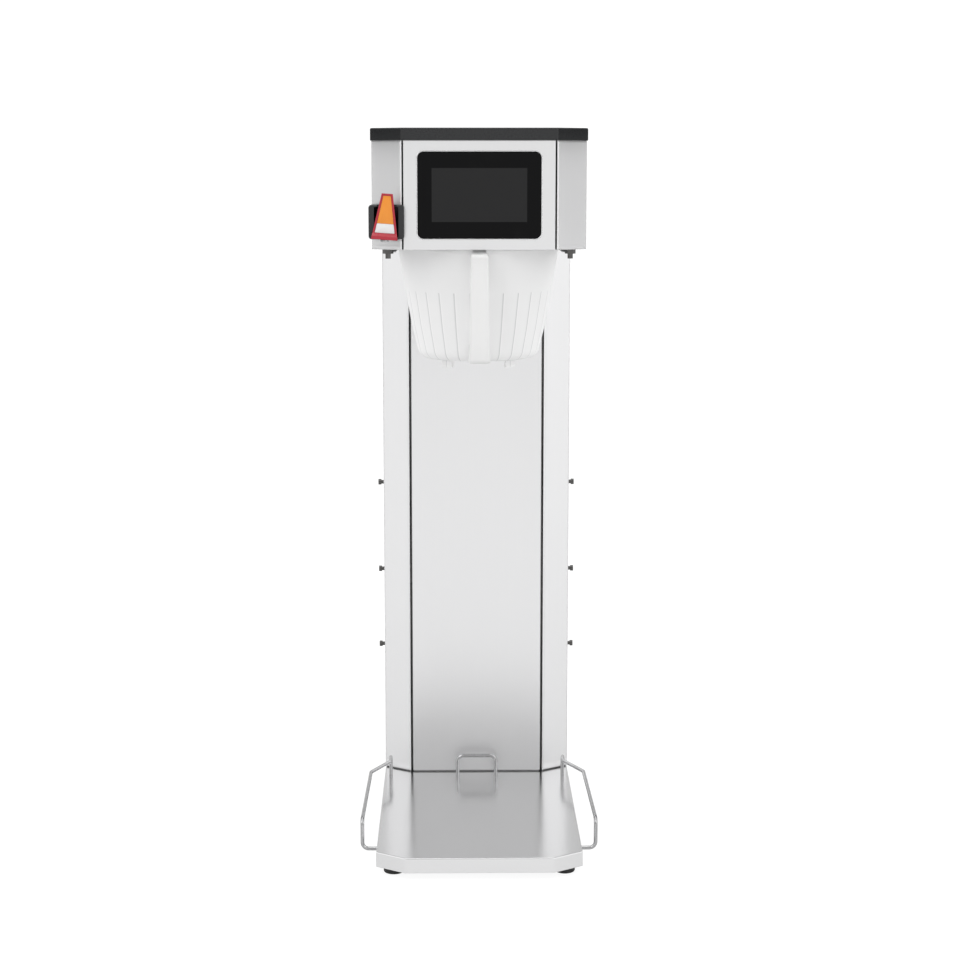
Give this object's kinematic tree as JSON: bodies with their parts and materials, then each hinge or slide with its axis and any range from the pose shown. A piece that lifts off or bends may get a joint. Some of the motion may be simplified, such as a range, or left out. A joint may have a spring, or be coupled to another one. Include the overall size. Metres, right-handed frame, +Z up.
{
  "type": "drip coffee brewer",
  "caption": "Tall drip coffee brewer: slim column on a platform base, head with touch display, funnel and corner hot-water faucet.",
  "frame": {"origin": "bottom centre of the bounding box, on the surface under the feet", "axes": "+Z up, -Y out of the front with the display, +X to the right as seen by the user facing it"},
  "size_m": [0.2956, 0.576, 0.905],
  "materials": {
    "brushed_steel": "satin, brushed",
    "polished_steel": "polished, mirror-like",
    "steel_wire": "bright drawn wire",
    "plain_steel": "mill finish",
    "tank_steel": "mill finish",
    "screw_steel": "dark zinc",
    "black_lid": "fine satin grain",
    "black_plastic": "satin",
    "red_plastic": "gloss, with an orange and white field",
    "rocker_plastic": "gloss",
    "foot_rubber": "matt",
    "frosted_plastic": "translucent, frosted",
    "black_glass": "gloss black, printed behind",
    "display_panel": "dark display",
    "circuit_board": "solder resist",
    "heat_sink_aluminium": "extruded",
    "silicone": "translucent silicone",
    "brass_fittings": "machined"
  },
  "bodies": {
    "brewer": {"side_panel_left": "brushed_steel", "side_panel_right": "brushed_steel", "column_front_panel": "brushed_steel", "head_front_panel": "brushed_steel", "head_bottom_plate": "brushed_steel", "rear_panel": "brushed_steel", "base_tray": "polished_steel", "locator_hoop": "steel_wire", "side_rail_left": "steel_wire", "side_rail_right": "steel_wire", "base_bottom_plate": "plain_steel", "tank_shelf": "plain_steel", "funnel_rail_left": "plain_steel", "funnel_rail_right": "plain_steel", "power_supply": "plain_steel", "tank_body": "tank_steel", "tank_lid": "tank_steel", "heating_elements": "tank_steel", "sprayhead": "tank_steel", "level_probe": "tank_steel", "temperature_probe": "tank_steel", "rear_panel_screws": "screw_steel", "head_studs": "screw_steel", "side_shoulder_screws": "screw_steel", "rail_nuts": "screw_steel", "foot_sockets": "screw_steel", "lever_pin": "screw_steel", "top_lid": "black_lid", "faucet_guard": "black_plastic", "faucet_body": "black_plastic", "display_bracket": "black_plastic", "cord_gland": "black_plastic", "power_switch_housing": "black_plastic", "faucet_nut": "black_plastic", "limit_thermostat": "black_plastic", "touch_glass": "black_glass", "display_module": "display_panel", "control_board": "circuit_board", "terminal_block": "circuit_board", "relay_heat_sink": "heat_sink_aluminium", "tank_gasket": "silicone", "fill_tube": "silicone", "dispense_tube": "silicone", "faucet_supply_tube": "silicone", "water_inlet_fitting": "brass_fittings", "inlet_valve": "brass_fittings", "dispense_valve": "brass_fittings", "spray_fitting": "brass_fittings"},
    "funnel": {"funnel_body": "frosted_plastic", "funnel_handle": "frosted_plastic"},
    "faucet_lever": {"faucet_lever": "red_plastic"},
    "faucet_stem": {"faucet_stem": "screw_steel", "faucet_seat_cup": "silicone", "faucet_spring": "screw_steel"},
    "power_rocker": {"power_rocker": "rocker_plastic"},
    "foot_front_left": {"foot_front_left": "foot_rubber"},
    "foot_front_right": {"foot_front_right": "foot_rubber"},
    "foot_rear_left": {"foot_rear_left": "foot_rubber"},
    "foot_rear_right": {"foot_rear_right": "foot_rubber"}
  },
  "joints": [
    {"name": "funnel_slide", "type": "slide", "parent": "brewer", "child": "funnel", "axis": [0, -1, 0], "range_m": [0, 0.2]},
    {"name": "lever_pull", "type": "hinge", "parent": "brewer", "child": "faucet_lever", "pos_m": [-0.11127, -0.25411, 0.806], "axis": [-1, 0, 0], "range_deg": [0, 25], "stiffness_Nm_per_rad": 0.4, "springref_deg": -8.59},
    {"name": "stem_lift", "type": "slide", "parent": "brewer", "child": "faucet_stem", "axis": [0, 0, 1], "range_m": [0, 0.0027], "deforming": ["faucet_spring"]},
    {"name": "rocker_tip", "type": "hinge", "parent": "brewer", "child": "power_rocker", "pos_m": [-0.07, 0.259, 0.1288], "axis": [1, 0, 0], "range_deg": [0, 24]},
    {"name": "foot_front_left_screw", "type": "slide", "parent": "brewer", "child": "foot_front_left", "axis": [0, 0, -1], "range_m": [0, 0.01]},
    {"name": "foot_front_right_screw", "type": "slide", "parent": "brewer", "child": "foot_front_right", "axis": [0, 0, -1], "range_m": [0, 0.01]},
    {"name": "foot_rear_left_screw", "type": "slide", "parent": "brewer", "child": "foot_rear_left", "axis": [0, 0, -1], "range_m": [0, 0.01]},
    {"name": "foot_rear_right_screw", "type": "slide", "parent": "brewer", "child": "foot_rear_right", "axis": [0, 0, -1], "range_m": [0, 0.01]}
  ],
  "couplings": [
    {"joint": "stem_lift", "follows": "lever_pull", "m_per_rad": 0.006}
  ]
}
